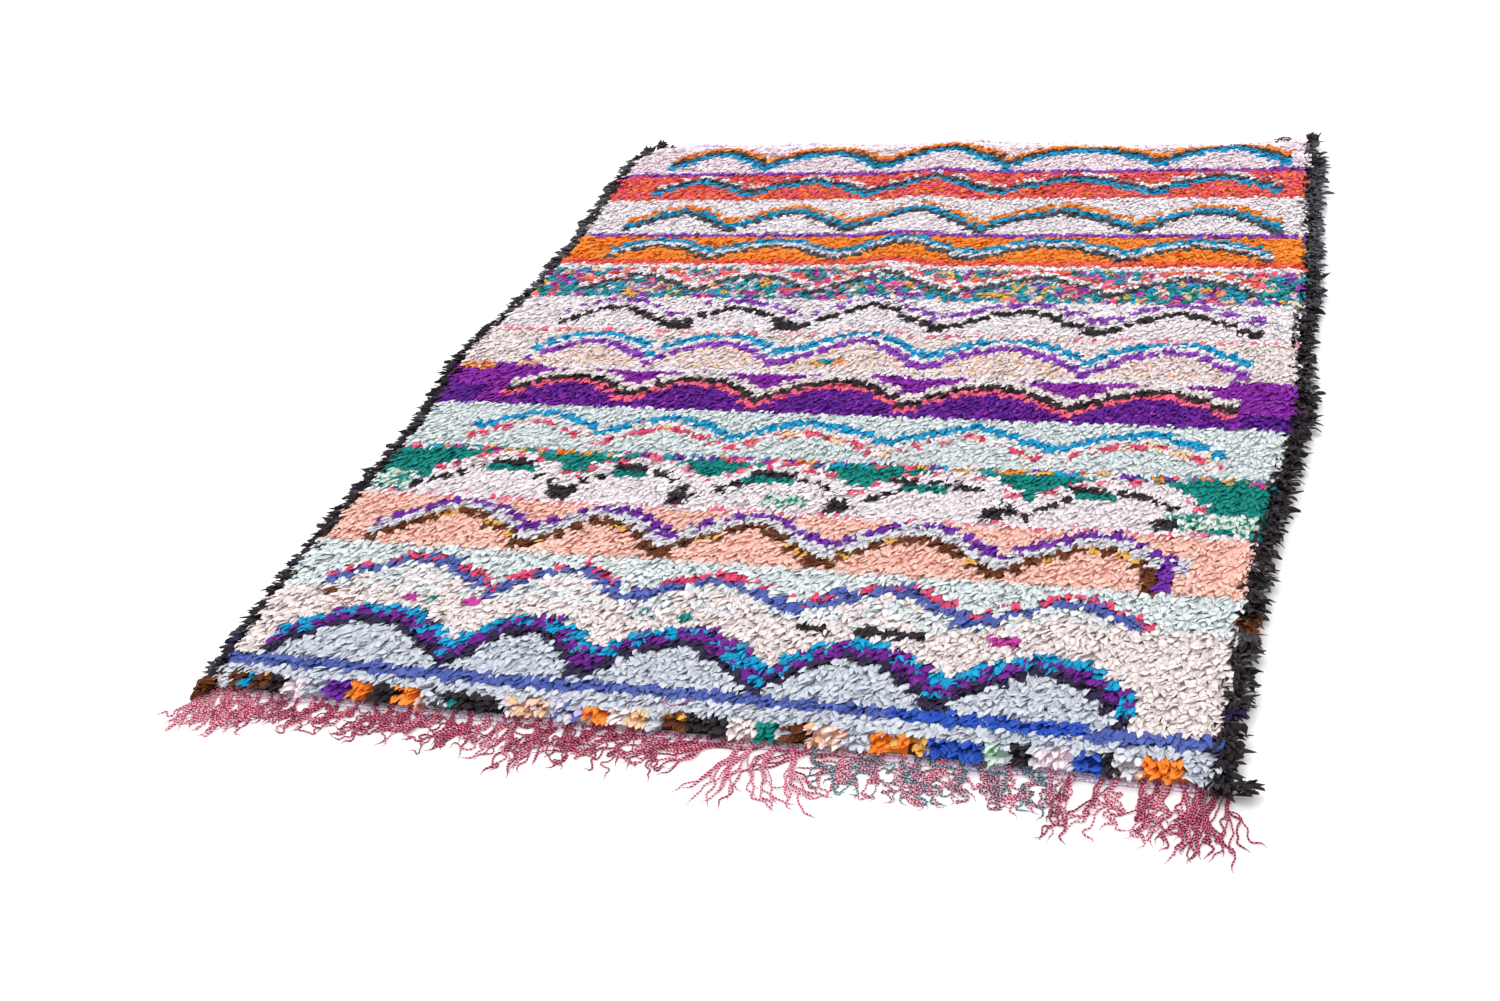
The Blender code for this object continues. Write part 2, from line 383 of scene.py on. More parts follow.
DASHES = [
    # foot and head in millimetres, cloth, left and right of each dash; the first that fits counts
    (36, 60, "periwinkle", "0-600 1300-1500"),
    (44, 66, "periwinkle", "600-1050"),
    (40, 66, "royal", "1050-1300"),
    (205, 222, "black", "875-920 960-1060"),
    (205, 222, "brown", "125-140"),
    (205, 222, "emerald", "290-310"),
    (205, 222, "magenta", "255-280 360-385 1150-1190"),
    (210, 228, "green_grey", "615-660"),
    (210, 228, "emerald", "700-715"),
    (200, 226, "cream", "0-1500"),
    (226, 262, "cream", "1180-1500"),
    (473, 487, "pink_speckle", "0-1500"),
    (335, 400, "brown", "1324-1345"),
    (345, 415, "purple", "1345-1366"),
    (575, 591, "black", "235-310 455-515 690-765"),
    (573, 589, "black", "915-960 1190-1240"),
    (558, 575, "emerald", "225-320 460-515 680-765"),
    (556, 573, "emerald", "940-1010 1200-1260"),
    (488, 520, "black", "372-405"),
    (488, 518, "black", "575-604"),
    (488, 522, "black", "834-862 1075-1105"),
    (490, 516, "black", "1325-1358"),
    (495, 528, "green_speckle", "730-800"),
    (492, 545, "green_speckle", "35-115"),
    (495, 535, "green_speckle", "1340-1470"),
    (614, 628, "thin_mixture", "0-1500"),
    (888, 903, "white", "190-1390"),
    (880, 903, "gold_mix", "30-95"),
    (892, 915, "apricot", "135-175"),
    (922, 942, "thin_mixture", "685-745"),
    (1022, 1036, "coral_speckle", "0-1500"),
    (1040, 1062, "black", "370-420"),
    (1042, 1068, "black", "580-630"),
    (1046, 1072, "black", "862-892"),
    (1044, 1060, "black", "1130-1170"),
    (765, 828, "deep_violet", "0-110"),
    (765, 805, "deep_violet", "1420-1500"),
    (1278, 1294, "white", "0-1500"),
    (1294, 1314, "coral_red", "0-1500"),
    (1411, 1425, "amethyst", "0-1500"),
    (1699, 1712, "amethyst", "0-1500"),
    (1868, 1900, "far_fuzz", "130-210 330-420 760-800"),
    (1875, 1920, "black", "45-90"),
]


def rows_of(words):
    """The cloth and the width in metres of each row in words such as "ink 15, cyan 14"."""
    return [(row.split()[0], int(row.split()[1]) / 1000) for row in words.split(", ") if row]


def in_metres(foot, head, cloth, spans):
    """Left, right, foot, head and cloth of each span in words such as "45-75 920-950"."""
    for span in spans.split():
        left, right = span.split("-")
        yield int(left) / 1000, int(right) / 1000, foot / 1000, head / 1000, cloth


band_rows = [rows_of(band[3]) for band in BANDS]
first_row = [(*FIRST_ROW_SPAN, *block) for block in FIRST_ROW.items()]
charted = [block for dash in first_row + DASHES for block in in_metres(*dash)]


def arch_height(across, height, roundness):
    """How far up an arch this is: 0 where two arches meet, 1 at the top, -1 past the last."""
    places = [np.interp(height, VALLEY_HEIGHTS, row) for row in VALLEYS]
    if not places[0] < across < places[-1]:
        return -1.0
    for left, right in zip(places, places[1:]):
        if across <= right:
            return 1 - abs(2 * (across - left) / (right - left) - 1) ** roundness
    return -1.0


def chance_at(row, cell):
    """A number from 0 to 1 that looks random but is always the same for this block."""
    return (math.sin(row * 12.9898 + cell * 78.233) * 43758.5453) % 1


def on_chart(across, height):
    """The height on the chart, where a ridge up the middle of the rug has pushed its far rows on."""
    ridge = np.interp(height, RIDGE_HEIGHTS, RIDGE_PLACES)
    push = HUMP_HEIGHT * np.clip((height - HUMP_FOOT) / HUMP_RISE, 0, 1)
    return height - push * math.exp(-(((across - ridge) / HUMP_WIDTH) ** 2))


def rag_at(across, height):
    """The cloth, or the mixture of cloths, that the chart gives at this place."""
    height = on_chart(across, height)
    for left, right, foot, head, cloth in charted:
        if left <= across < right and foot <= height < head:
            return cloth
    number = sum(row[0] <= height for row in BANDS) - 1
    rows = band_rows[max(number, 0)]
    foot, under, over, words, valley, peak, roundness = BANDS[max(number, 0)]
    stagger = CELL_WIDTH * (number * GOLDEN_SHARE % 1)
    cell = math.floor((across + stagger) / CELL_WIDTH)
    middle = (cell + 0.5) * CELL_WIDTH - stagger
    share = arch_height(middle, height, roundness)
    if not rows or share < 0:
        return over
    risen = arch_height(middle + SLOPE_STEP, height, roundness) - share
    slope = (peak - valley) * abs(risen) / SLOPE_STEP
    leaning = min(math.hypot(1, slope), STEEPEST)
    base = valley + (peak - valley) * share + BLOCK_JITTER * (chance_at(number, cell) - 0.5)
    above = (height - base) / leaning
    if above < 0:
        return under
    for cloth, width in rows:
        if above < width:
            return cloth
        above -= width
    return over


# Ground weave
# A flat sheet of cotton wefts beaten over paired warps. It holds every knot, shows between them,
# and is the whole of the rug's back, where the loops of the knots show their dyes in rows.
WEAVE_COLUMNS = 56
WEAVE_ROWS = 72
WEAVE_THICKNESS = 0.0018
WEAVE_LIFT = 0.0003
WEAVE_INSET = 0.004
EDGE_ROW = 0.02
SIDE_REGION = 0.62
END_REGION = 0.90


def rim_points(node, keep):
    """The points of a node's flat underside that keep() accepts, in metres."""
    points = np.array([vert.co[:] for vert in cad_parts[node].data.vertices])
    points = np.unique(np.round(points[points[:, 2] < 1e-5][:, :2], 5), axis=0)
    return points[[keep(x, y) for x, y in points]]


near_end = rim_points("pile_field", lambda x, y: y < 0)[:, 1].min()


def edge_line(points, outermost):
    """The outermost x of these points all the way up the rug, -1 for the left and 1 for the right."""
    rows = np.round(points[:, 1] / EDGE_ROW).astype(int)
    line = []
    for row in np.unique(rows):
        here = points[rows == row]
        line.append((here[:, 1].mean(), outermost * (outermost * here[:, 0]).max()))
    return np.array(line)


def edge_of(line, y):
    return np.interp(y, line[:, 0], line[:, 1])


left_seam = edge_line(rim_points("pile_field", lambda x, y: x < -SIDE_REGION), -1)
right_seam = edge_line(rim_points("pile_field", lambda x, y: x > SIDE_REGION), 1)
left_side = edge_line(rim_points("selvedge_left", lambda x, y: True), -1)
right_side = edge_line(rim_points("selvedge_right", lambda x, y: True), 1)
far_end = rim_points("pile_field", lambda x, y: y > END_REGION)
pile_length = float(np.mean(far_end[:, 1])) - near_end
far_order = far_end[far_end[:, 0].argsort()]


def far_y(x):
    return np.interp(x, far_order[:, 0], far_order[:, 1])


def quads_of(at):
    """The faces between neighbouring points, whose numbers are in this grid."""
    return np.stack([at[:-1, :-1], at[:-1, 1:], at[1:, 1:], at[1:, :-1]], -1).reshape(-1, 4)


def cloth_grid(columns, rows, place, thickness):
    """Points and faces of a closed sheet; place(across, along) gives its upper side."""
    across, along = np.meshgrid(np.linspace(0, 1, columns + 1), np.linspace(0, 1, rows + 1))
    upper = np.array([place(u, v) for u, v in zip(across.ravel(), along.ravel())])
    lower = upper - (0, 0, thickness)
    count = len(upper)
    at = np.arange(count).reshape(rows + 1, columns + 1)
    quads = quads_of(at)
    rim = np.concatenate([at[0, :], at[1:, -1], at[-1, -2::-1], at[-2:0:-1, 0]])
    after = np.roll(rim, -1)
    walls = np.stack([rim + count, after + count, after, rim], -1)
    return np.vstack([upper, lower]), np.vstack([quads, quads[:, ::-1] + count, walls])


def new_piece(name, points, faces, materials, attributes, which=None):
    """A piece riding on the rug, with vector attributes on its points and a material for each face."""
    mesh = bpy.data.meshes.new(name)
    count, sides = faces.shape
    mesh.vertices.add(len(points))
    mesh.vertices.foreach_set("co", np.asarray(points, np.float32).ravel())
    mesh.loops.add(count * sides)
    mesh.loops.foreach_set("vertex_index", np.asarray(faces, np.int32).ravel())
    mesh.polygons.add(count)
    mesh.polygons.foreach_set("loop_start", np.arange(0, count * sides, sides, dtype=np.int32))
    for label, values in attributes.items():
        layer = mesh.attributes.new(label, "FLOAT_VECTOR", "POINT")
        layer.data.foreach_set("vector", np.asarray(values, np.float32).ravel())
    for material in materials:
        mesh.materials.append(material)
    if which is not None:
        mesh.polygons.foreach_set("material_index", np.asarray(which, np.int32))
    mesh.update(calc_edges=True)
    mesh.shade_smooth()
    piece = bpy.data.objects.new(name, mesh)
    bpy.context.scene.collection.objects.link(piece)
    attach(piece, "root")
    return piece


def set_islands(mesh, places):
    """Gives each face corner its own place in the flat layout of the surface."""
    layer = mesh.uv_layers.new(name="OFBake")
    layer.data.foreach_set("uv", np.asarray(places, np.float32).ravel())


def weave_place(across, along):
    y = near_end + along * pile_length
    left = edge_of(left_side, y) + WEAVE_INSET
    right = edge_of(right_side, y) - WEAVE_INSET
    x = left + across * (right - left)
    y = near_end + along * (far_y(x) - near_end)
    return x, y, WEAVE_LIFT + WEAVE_THICKNESS + 0.0004 * noise.noise((x * 30, y * 30, 0))


def ground_weave():
    material, shader, start = fresh_material("ground_weave")
    place = start.place()
    loops = start.attribute("loops")
    wefts = place.part("Y")
    warps = place.part("X")
    ridges = (wefts * 1500 + place.cloudy(40) * 3).wave()
    columns = (warps * 1300).wave()
    speckle = place.stretched((1, 0.35, 1)).cloudy(420, 2.0)
    knots = (speckle * 1.8 - 0.4).mixed(loops, "B7A6AE")
    (ridges * 0.5).mixed(knots, "8C7F8A").drive(shader, "Base Color")
    (speckle * 0.15 + 0.8).drive(shader, "Roughness")
    (ridges * 0.6 + columns * 0.3 + speckle * 0.3).emboss(shader, 0.0008)
    shader.inputs["Specular IOR Level"].default_value = 0.2
    points, faces = cloth_grid(WEAVE_COLUMNS, WEAVE_ROWS, weave_place, WEAVE_THICKNESS)
    colours = []
    draw = np.random.default_rng(5)
    for x, y in points[:, :2]:
        cloth = rag_at(x - CHART_LEFT, y - CHART_FOOT)
        cloth = draw.choice(MIXTURES[cloth].split()) if cloth in MIXTURES else cloth
        colours.append(np.array(dye(CLOTHS[cloth].split()[0])) * 0.8)
    piece = new_piece("ground_weave", points, faces, [material], {"loops": colours})
    return piece


weave = ground_weave()

# Rag pile
# Every knot is a torn strip tied round two warps with both ends left standing. The ends fall
# over towards the fringe and a little to the left: long broad ones in the first rows, which
# were tied loosely, and shorter, finer and denser ones from there on.
ROW_STEPS = (0.0150, 0.0125)
KNOT_STEPS = (0.0160, 0.0125)
STRIPS_PER_KNOT = (6.5, 5.15)
STRIP_WIDTHS = (0.0098, 0.0069)
STRIP_LENGTHS = (0.0230, 0.0190)
RISES = (35, 29)
FALLS = (-4, -2)
LOOSE_ROWS_END = 0.33
LOOSE_ROWS_BLEND = 0.10
LEAN = -100
LEAN_DRIFT = 18
LEAN_SPREAD = 13
KNOT_SPREAD = 9
FAR_TURN = 170
RISE_SPREAD = 5
FALL_SPREAD = 7
LENGTH_RANGE = (0.8, 1.12)
WIDTH_RANGE = (0.7, 1.25)
KNOT_JITTERS = (0.12, 0.0015)
ROOT_DEPTH = 0.0015
VISIBLE_PLACE = 0.55
BED_HEIGHTS = (0.0185, 0.0215)
BED_COLUMNS = 120
BED_ROWS = 138
BED_RIM = 0.030
SIDE_OVERLAP = 0.02
LEAST_BED = 0.04
BED_LUMP = 0.0015
LUMP_WIDTH = 0.05
FAR_TAPER = 0.045
BED_SHIFT = 0.004
BED_JITTER = 0.0008
PILE_LIMIT = 0.0335
NEAR_INSET = 0.024
BED_INSET = 0.012
FAR_INSET = 0.003
FAR_RIM = 0.018
SIDE_GAP = -0.010
PROFILE = (0.60, 0.95, 1.00, 0.85)
RIPPLE = 0.025
PILE_WAYS = (0.22, 9, 0.3, (0.45, 1.05), (0.03, 0.16))
SLANT = 0.3
DRIFT_WIDTH = 0.16
SWELL_WIDTH = 0.085
SWELL = 0.16
BAND_NAMES = ["pile_first_rows"] + [f"pile_band_{number:02d}" for number in range(1, 14)]
PILE_SEED = 7


def strips_mesh(name, strips, materials, stations):
    """Cloth strips in one mesh: each a creased ribbon that rises from its root and falls over."""
    count = len(strips["length"])
    draw = np.random.default_rng(hash_of(name))
    share = np.linspace(0, 1, stations)
    rise = np.radians(strips["rise"])[:, None]
    fall = np.radians(strips["fall"])[:, None]
    heading = np.radians(strips["heading"])[:, None] + strips["curl"][:, None] * share**1.5
    steep = rise + (fall - rise) * share**1.1
    along = np.stack(
        [np.cos(steep) * np.cos(heading), np.cos(steep) * np.sin(heading), np.sin(steep)], -1
    )
    middle = (along[:, 1:] + along[:, :-1]) / 2
    steps = np.concatenate([np.zeros((count, 1, 3)), middle], 1) / (stations - 1)
    path = strips["root"][:, None, :] + np.cumsum(steps, 1) * strips["length"][:, None, None]
    side = np.stack([-np.sin(heading), np.cos(heading), np.zeros_like(heading)], -1)
    face = np.cross(along, side)
    roll = np.radians(strips["roll"])[:, None] + strips["twist"][:, None] * share
    cos, sin = np.cos(roll)[..., None], np.sin(roll)[..., None]
    side, face = side * cos + face * sin, face * cos - side * sin
    profile = np.interp(share, np.linspace(0, 1, len(PROFILE)), PROFILE)
    width = strips["width"][:, None] * profile * np.where(share == 1, strips["tip"][:, None], 1)
    columns = np.array((-1.0, 0.0, 1.0))
    points = path[:, :, None, :] + side[:, :, None, :] * (width[:, :, None] * columns / 2)[..., None]
    bend = strips["crease"][:, None, None] * width[:, :, None] * (1 - abs(columns))
    bend = bend + draw.normal(0, RIPPLE, (count, stations, 3)) * width[:, :, None]
    points += face[:, :, None, :] * bend[..., None]
    slant = (strips["slant"] * strips["width"])[:, None, None] * columns[None, :, None]
    points[:, -1] += along[:, -1][:, None, :] * slant
    points[:, -1, 1] += along[:, -1] * (draw.uniform(-0.1, 0.5, count) * strips["width"])[:, None]
    points[..., 2] = np.clip(points[..., 2], 0.001, PILE_LIMIT)
    around = np.broadcast_to((columns + 1) / 2, (count, stations, 3))
    lengthwise = np.broadcast_to(share[None, :, None], (count, stations, 3))
    batch = np.broadcast_to(strips["batch"][:, None, None], (count, stations, 3))
    strip = np.stack([around, lengthwise, batch], -1).reshape(-1, 3)
    at = np.arange(stations * 3).reshape(stations, 3)
    quads = quads_of(at)
    faces = (quads[None] + (np.arange(count) * stations * 3)[:, None, None]).reshape(-1, 4)
    used = np.unique(strips["cloth"])
    which = np.repeat(np.searchsorted(used, strips["cloth"]), len(quads))
    chosen = [materials[number] for number in used]
    piece = new_piece(name, points.reshape(-1, 3), faces, chosen, {"strip": strip}, which)
    columns_of_islands = math.ceil(math.sqrt(2 * count))
    rows_of_islands = math.ceil(count / columns_of_islands)
    number = np.arange(count)
    place = np.stack([number % columns_of_islands, number // columns_of_islands], -1)
    inside = 0.1 + 0.8 * strip[:, :2]
    flat = (np.repeat(place, stations * 3, 0) + inside) / (columns_of_islands, rows_of_islands)
    set_islands(piece.data, flat[faces.ravel()])
    return piece


def hash_of(name):
    """A number from a name that is the same in each run."""
    return sum(ord(letter) * 31**place for place, letter in enumerate(name[:12])) % 2**31


def looseness(height):
    """1 in the loosely tied first rows, easing to 0 above them."""
    return np.clip((LOOSE_ROWS_END + LOOSE_ROWS_BLEND - height) / LOOSE_ROWS_BLEND, 0, 1)


def eased(pair, loose):
    """Between the size that the first rows have and the size that the other rows have."""
    return pair[1] + (pair[0] - pair[1]) * loose


def bed_height(x, y):
    """How high the tied knots stand at this place, before their loose ends begin."""
    from_left = x - edge_of(left_seam, y) + SIDE_OVERLAP
    from_right = edge_of(right_seam, y) - x + SIDE_OVERLAP
    rim = min(y - near_end - BED_INSET, from_left, from_right)
    share = min(rim / BED_RIM, (far_y(x) - y) / FAR_TAPER)
    full = math.sqrt(min(max(share, LEAST_BED), 1))
    lump = BED_LUMP * noise.noise((x / LUMP_WIDTH, y / LUMP_WIDTH, 9.0))
    return eased(BED_HEIGHTS, looseness(y - near_end)) * full + lump


def knot_bed():
    """The tied bodies of the knots, packed side by side in the dye of their rows."""
    draw = np.random.default_rng(PILE_SEED + 2)

    def place(across, along):
        y = near_end + along * pile_length
        left, right = edge_of(left_seam, y), edge_of(right_seam, y)
        x = left + across * (right - left)
        y = near_end + BED_INSET + along * (far_y(x) - near_end - BED_INSET)
        return x, y, bed_height(x, y) + draw.uniform(-BED_JITTER, BED_JITTER)

    points, faces = cloth_grid(BED_COLUMNS, BED_ROWS, place, 0.0)
    points, faces = points[: len(points) // 2], faces[: BED_COLUMNS * BED_ROWS]
    middles = points[faces].mean(1)
    cloths = []
    for x, y, z in middles:
        cloth = rag_at(x - CHART_LEFT, y - CHART_FOOT - BED_SHIFT)
        choices = MIXTURES.get(cloth, cloth).split()
        cloths.append(cloth_names.index(draw.choice(choices)))
    used = np.unique(cloths)
    strip = np.column_stack([points[:, 0] * 80, points[:, 1] * 60, draw.uniform(0, 1, len(points))])
    chosen = [cloth_materials[number] for number in used]
    which = np.searchsorted(used, cloths)
    piece = new_piece("knot_bed", points, faces, chosen, {"strip": strip}, which)
    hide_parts("pile_field")
    return piece


def knots_of_pile():
    """Every knot of the pile: its place and how loosely it is tied."""
    draw = np.random.default_rng(PILE_SEED)
    knots = []
    height = NEAR_INSET
    while height < pile_length - FAR_INSET:
        loose = float(looseness(height))
        left = edge_of(left_seam, near_end + height) + SIDE_GAP
        right = edge_of(right_seam, near_end + height) - SIDE_GAP
        number = round((right - left) / eased(KNOT_STEPS, loose))
        for knot in range(number):
            x = left + (right - left) * (knot + 0.5 + draw.normal(0, KNOT_JITTERS[0])) / number
            y = near_end + height * (far_y(x) - near_end) / pile_length
            knots.append((x, y + draw.normal(0, KNOT_JITTERS[1]), loose))
        height += eased(ROW_STEPS, loose)
    return knots


def block_cloth(x, y, chance):
    """The number of the cloth at this place; a block of some of the mixtures is of one dye."""
    cloth = rag_at(x - CHART_LEFT, y - CHART_FOOT)
    choices = MIXTURES.get(cloth, cloth).split()
    if cloth in BLOCKS:
        width = CONFETTI_WIDTH if cloth == "confetti" else CELL_WIDTH
        row = math.floor((y - CHART_FOOT) / CELL_HEIGHT)
        chance = chance_at(row, math.floor((x - CHART_LEFT) / width + row * GOLDEN_SHARE))
    return cloth_names.index(choices[int(chance * len(choices))])


def ways_to_lie(draw, count, curl, roll, twist, tips, creases):
    """How strips curl, roll, twist, narrow and crease, and how slantwise they are torn off."""
    return {
        "curl": draw.normal(0, curl, count),
        "roll": draw.normal(0, roll, count),
        "twist": draw.normal(0, twist, count),
        "tip": draw.uniform(*tips, count),
        "crease": draw.choice((-1, 1, 1), count) * draw.uniform(*creases, count),
        "slant": draw.normal(0, SLANT, count),
    }


def strips_of(knots, draw):
    """The strips of these knots, as arrays by name."""
    places = np.array([knot[:2] for knot in knots])
    looses = np.array([knot[2] for knot in knots])
    drifts = np.array([noise.noise((x / DRIFT_WIDTH, y / DRIFT_WIDTH, 3.0)) for x, y in places])
    swells = np.array([noise.noise((x / SWELL_WIDTH, y / SWELL_WIDTH, 0.0)) for x, y in places])
    beds = np.array([bed_height(x, y) for x, y in places])
    rims = np.array([far_y(x) - y for x, y in places])
    ends = eased(STRIPS_PER_KNOT, looses) + draw.uniform(-0.5, 0.5, len(knots))
    ends = np.round(ends).astype(int)
    leans = LEAN + LEAN_DRIFT * drifts + draw.normal(0, KNOT_SPREAD, len(knots))
    batches = draw.uniform(0, 1, len(knots))
    owner = np.repeat(np.arange(len(knots)), ends)
    count = len(owner)
    loose = looses[owner]
    x = places[owner, 0] + draw.uniform(-0.5, 0.5, count) * eased(KNOT_STEPS, loose)
    y = places[owner, 1] + draw.uniform(-0.5, 0.5, count) * eased(ROW_STEPS, loose)
    far_rim = rims[owner] < FAR_RIM * draw.uniform(0.4, 1, count)
    shortened = 0.6 + 0.4 * np.clip(rims[owner] / FAR_TAPER, 0, 1)
    swell = (1 + SWELL * swells[owner]) * shortened
    heading = leans[owner] + draw.normal(0, LEAN_SPREAD, count) + far_rim * FAR_TURN
    length = eased(STRIP_LENGTHS, loose) * swell * draw.uniform(*LENGTH_RANGE, count)
    seen_x = x + VISIBLE_PLACE * length * np.cos(np.radians(heading))
    seen_y = y + VISIBLE_PLACE * length * np.sin(np.radians(heading))
    return {
        "root": np.column_stack([x, y, beds[owner] - ROOT_DEPTH]),
        "heading": heading,
        "rise": eased(RISES, loose) + draw.normal(0, RISE_SPREAD, count),
        "fall": eased(FALLS, loose) + draw.normal(0, FALL_SPREAD, count),
        "length": length,
        "width": eased(STRIP_WIDTHS, loose) * draw.uniform(*WIDTH_RANGE, count),
        "cloth": np.array(
            [block_cloth(*place) for place in zip(seen_x, seen_y, draw.uniform(0, 1, count))]
        ),
        "batch": 0.65 * batches[owner] + 0.35 * draw.uniform(0, 1, count),
        **ways_to_lie(draw, count, *PILE_WAYS),
    }


def rag_pile():
    draw = np.random.default_rng(PILE_SEED + 1)
    knots = knots_of_pile()
    feet = [band[0] for band in BANDS] + [9.0]
    pieces = []
    for name, foot, head in zip(BAND_NAMES, feet, feet[1:]):
        chosen = [knot for knot in knots if foot <= knot[1] - CHART_FOOT < head]
        stations = 4 if head < LOOSE_ROWS_END + 0.03 else 3
        piece = strips_mesh(name, strips_of(chosen, draw), cloth_materials, stations)
        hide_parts("pile_field")
        pieces.append(piece)
    return pieces


pile_pieces = [knot_bed(), *rag_pile()]

# Dark sides
# The last warps of each side are bound with black and charcoal rags, knotted like the pile but
# with their ends pulled outwards, so that dark locks stand out past the edge all along the rug.
SELVEDGE_WIDTH = 0.030
OUTWARD_TURN = 48
SIDE_ROW_STEP = 0.0125
SIDE_KNOTS = 3
INNER_SHARE = 0.38
OUTER_SHARE = 0.88
SIDE_STRIPS = 4
SIDE_WIDTH = 0.0088
SIDE_LENGTH = 0.025
SIDE_INSET = 0.006
SIDE_RISE = 66
SIDE_FALL = 4
EDGE_RISE_LESS = 16
EDGE_FALL_LESS = 14
SIDE_SPREAD = 26
SIDE_ROOT = 0.009
EDGE_ROOT_LESS = 0.55
SIDE_WAYS = (0.4, 22, 0.5, (0.15, 0.8), (0.08, 0.3))
SIDE_TUFTS = [
    # side, foot, head, cloth
    (-1, -0.05, 0.020, "brown"),
    (-1, 0.080, 0.115, "ink"),
    (-1, 0.275, 0.305, "ink"),
    (1, 0.115, 0.145, "ink"),
    (1, 0.295, 0.330, "brown"),
]
CHARCOAL_FROM = 1.05
CORNER_TUFTS = [
    # side, where it is rooted on the chart, the way it points
    (1, 1.492, -0.010, -28),
    (-1, 0.052, 1.872, 55),
    (-1, 0.040, 1.850, 120),
    (1, 1.462, 1.862, 110),
]
TUFT_STRIPS = 14


def side_cloth(side, height, draw):
    for which, foot, head, cloth in SIDE_TUFTS:
        if which == side and foot <= height < head:
            return cloth
    dark = np.clip((height - CHARCOAL_FROM) / 0.4 + 0.2, 0.1, 0.75)
    return "charcoal" if draw.uniform() < dark else "black"


def dark_side(name, side, seam, edge, replaced, seed):
    """One selvedge: side is -1 on the left and 1 on the right."""
    draw = np.random.default_rng(seed)
    rows = []
    tufted = []
    height = 0.0
    while height < pile_length - 0.004:
        y = near_end + height
        inner = edge_of(seam, y)
        outer = edge_of(edge, y) - side * SIDE_INSET
        stretch = (far_y(inner) - near_end) / pile_length
        cloth = cloth_names.index(side_cloth(side, y - CHART_FOOT, draw))
        for knot in range(SIDE_KNOTS):
            share = INNER_SHARE + (OUTER_SHARE - INNER_SHARE) * knot / (SIDE_KNOTS - 1)
            x = inner + (outer - inner) * share
            rows += [(x, near_end + height * stretch, share, cloth)] * SIDE_STRIPS
        height += SIDE_ROW_STEP
    for which, across, height, heading in CORNER_TUFTS:
        if which == side:
            cloth = cloth_names.index("black")
            place = (across + CHART_LEFT, height + CHART_FOOT, 0.4, cloth)
            rows += [place] * TUFT_STRIPS
            tufted += [heading] * TUFT_STRIPS
    x, y, share, cloth = np.array(rows).T
    count = len(x)
    outward = -90 + side * OUTWARD_TURN
    heading = outward * share + LEAN * (1 - share)
    heading[count - len(tufted) :] = tufted
    strips = {
        "root": np.column_stack(
            [
                x + draw.uniform(-0.2, 0.2, count) * SELVEDGE_WIDTH,
                y + draw.uniform(-0.5, 0.5, count) * SIDE_ROW_STEP,
                SIDE_ROOT * (1 - EDGE_ROOT_LESS * share),
            ]
        ),
        "heading": heading + draw.normal(0, SIDE_SPREAD, count),
        "rise": SIDE_RISE - EDGE_RISE_LESS * share + draw.normal(0, 8, count),
        "fall": SIDE_FALL - EDGE_FALL_LESS * share + draw.normal(0, 14, count),
        "length": SIDE_LENGTH * draw.uniform(0.75, 1.2, count),
        "width": SIDE_WIDTH * draw.uniform(0.6, 1.3, count),
        "cloth": cloth.astype(int),
        "batch": draw.uniform(0, 1, count),
        **ways_to_lie(draw, count, *SIDE_WAYS),
    }
    piece = strips_mesh(name, strips, cloth_materials, 4)
    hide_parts(replaced)
    return piece


left_locks = dark_side("dark_locks_left", -1, left_seam, left_side, "selvedge_left", 31)
right_locks = dark_side("dark_locks_right", 1, right_seam, right_side, "selvedge_right", 32)

# Heading
# Before the first row of knots the warps are crossed by a few rows of twined cotton, lavender
# and pink, beaten tight into a flat band that keeps the knots from sliding off.
HEADING_COLUMNS = 400
HEADING_ROWS = 8
HEADING_PITCH = 0.0072
HEADING_LIFT = 0.0026
HEADING_MARGIN = 0.004
HEADING_RIDGE = 0.0022
fringe_low, fringe_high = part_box("fringe")
HEADING_DEPTH = 0.015
HEADING_INSET = 0.0134


def heading_place(across, along):
    x = fringe_low.x + HEADING_MARGIN + across * (fringe_high.x - fringe_low.x - 2 * HEADING_MARGIN)
    y = near_end + HEADING_INSET - HEADING_DEPTH * (1 - along)
    row = along * 3
    twine = abs(math.sin(math.pi * (x / HEADING_PITCH + 0.5 * math.floor(row))))
    ridge = abs(math.sin(math.pi * row)) * (0.5 + 0.5 * twine)
    lump = 0.0012 * noise.noise((x * 140, y * 220, 0))
    return x, y + 0.0020 * noise.noise((x * 45, 0, 0)), HEADING_LIFT + HEADING_RIDGE * ridge + lump


def twined_heading():
    material, shader, start = fresh_material("twined_cotton")
    place = start.place()
    fibres = place.stretched((1, 2.5, 1)).cloudy(900, 3.0, 0.7)
    patches = place.cloudy(14, 3.0)
    pink = place.stretched((1, 1.6, 1)).cloudy(230, 1.0) * 7 - 3.7
    blue = place.stretched((1, 1.6, 1)).cloudy(310, 1.0) * 7 - 3.6
    base = (patches * 2 - 0.5).mixed("DAD8E8", "EEDBE4")
    blue.mixed(pink.mixed(base, "D0507C"), "7C84B4").drive(shader, "Base Color")
    (fibres * 0.2 + 0.75).drive(shader, "Roughness")
    fibres.emboss(shader, 0.0006)
    points, faces = cloth_grid(HEADING_COLUMNS, HEADING_ROWS, heading_place, HEADING_LIFT - 0.0006)
    points[:, 2] = np.maximum(points[:, 2], 0.0004)
    piece = new_piece("twined_heading", points, faces, [material], {})
    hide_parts("fringe")
    return piece


heading = twined_heading()

